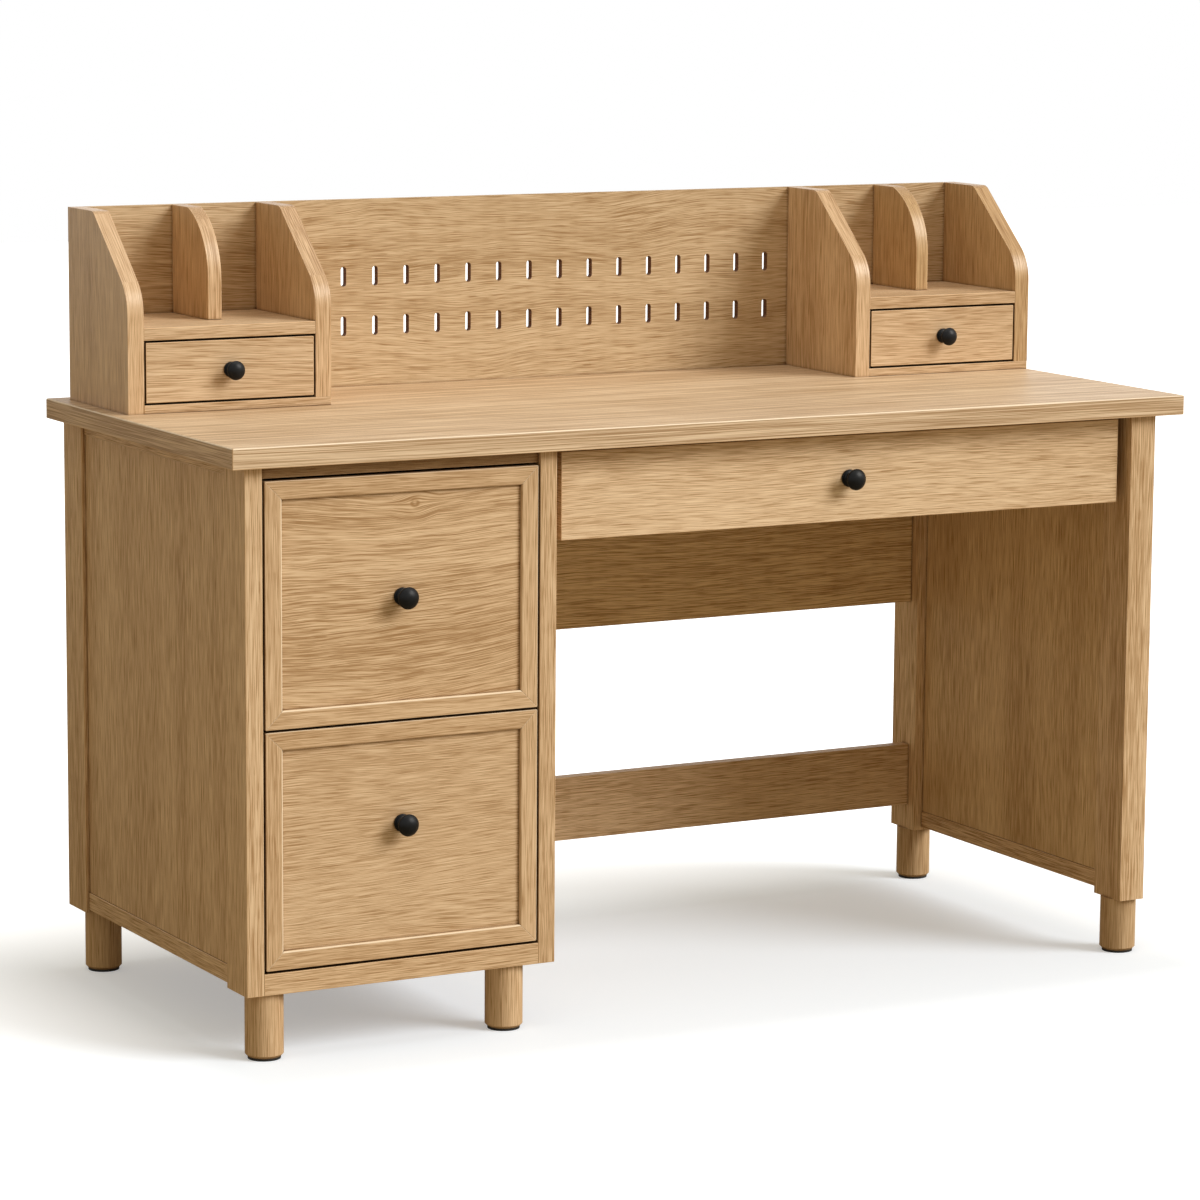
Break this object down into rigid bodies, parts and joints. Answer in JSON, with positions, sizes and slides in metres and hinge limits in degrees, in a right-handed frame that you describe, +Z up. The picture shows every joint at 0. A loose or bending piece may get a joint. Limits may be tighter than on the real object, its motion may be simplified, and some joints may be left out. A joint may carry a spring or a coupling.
{
  "type": "pedestal desk with hutch",
  "caption": "Oak desk with a file-drawer pedestal, a pencil drawer, a panelled right end and a low hutch of small drawer units with a slotted back.",
  "frame": {"origin": "on the floor, below the middle of the whole desk", "axes": "+X to the right along the worktop, +Y to the rear, +Z up; the drawers open towards -Y"},
  "size_m": [1.38, 0.606, 1.01],
  "materials": {
    "oak_vertical": "satin lacquered oak, grain upright",
    "oak_level": "satin lacquered oak, grain level",
    "box_wood": "plain pale drawer wood",
    "knob_black": "matte black paint",
    "runner_steel": "zinc plated",
    "screw_steel": "zinc plated",
    "glide_plastic": "black pad"
  },
  "bodies": {
    "desk": {"pedestal_post_front_left": "oak_vertical", "pedestal_post_front_right": "oak_vertical", "pedestal_posts_rear": "oak_vertical", "pedestal_panel_left": "oak_vertical", "pedestal_panel_right": "oak_vertical", "end_post_front": "oak_vertical", "end_post_rear": "oak_vertical", "end_panel": "oak_vertical", "pedestal_legs": "oak_vertical", "end_legs": "oak_vertical", "left_unit_side_left": "oak_vertical", "left_unit_side_right": "oak_vertical", "right_unit_side_left": "oak_vertical", "right_unit_side_right": "oak_vertical", "left_unit_divider": "oak_vertical", "right_unit_divider": "oak_vertical", "worktop": "oak_level", "pedestal_side_rails": "oak_level", "pedestal_front_rails": "oak_level", "end_rails": "oak_level", "modesty_board": "oak_level", "stretcher": "oak_level", "hutch_back": "oak_level", "left_unit_boards": "oak_level", "right_unit_boards": "oak_level", "pedestal_back": "oak_level", "pedestal_floor": "box_wood", "file_tracks": "runner_steel", "pencil_tracks": "runner_steel", "leg_bolts": "screw_steel", "leg_glides": "glide_plastic"},
    "lower_file_drawer": {"lower_file_stiles": "oak_vertical", "lower_file_rails": "oak_level", "lower_file_panel": "oak_level", "lower_file_box": "box_wood", "lower_file_knob": "knob_black", "lower_file_screw": "screw_steel", "lower_file_runners": "runner_steel"},
    "upper_file_drawer": {"upper_file_stiles": "oak_vertical", "upper_file_rails": "oak_level", "upper_file_panel": "oak_level", "upper_file_box": "box_wood", "upper_file_knob": "knob_black", "upper_file_screw": "screw_steel", "upper_file_runners": "runner_steel"},
    "pencil_drawer": {"pencil_drawer_front": "oak_level", "pencil_drawer_box": "box_wood", "pencil_drawer_knob": "knob_black", "pencil_drawer_screw": "screw_steel", "pencil_drawer_runners": "runner_steel"},
    "left_small_drawer": {"left_drawer_front": "oak_level", "left_drawer_box": "box_wood", "left_drawer_knob": "knob_black", "left_drawer_screw": "screw_steel"},
    "right_small_drawer": {"right_drawer_front": "oak_level", "right_drawer_box": "box_wood", "right_drawer_knob": "knob_black", "right_drawer_screw": "screw_steel"}
  },
  "joints": [
    {"name": "lower_file_drawer_slide", "type": "slide", "parent": "desk", "child": "lower_file_drawer", "axis": [0, -1, 0], "range_m": [0, 0.375]},
    {"name": "upper_file_drawer_slide", "type": "slide", "parent": "desk", "child": "upper_file_drawer", "axis": [0, -1, 0], "range_m": [0, 0.375]},
    {"name": "pencil_drawer_slide", "type": "slide", "parent": "desk", "child": "pencil_drawer", "axis": [0, -1, 0], "range_m": [0, 0.3]},
    {"name": "left_small_drawer_slide", "type": "slide", "parent": "desk", "child": "left_small_drawer", "axis": [0, -1, 0], "range_m": [0, 0.12]},
    {"name": "right_small_drawer_slide", "type": "slide", "parent": "desk", "child": "right_small_drawer", "axis": [0, -1, 0], "range_m": [0, 0.12]}
  ]
}
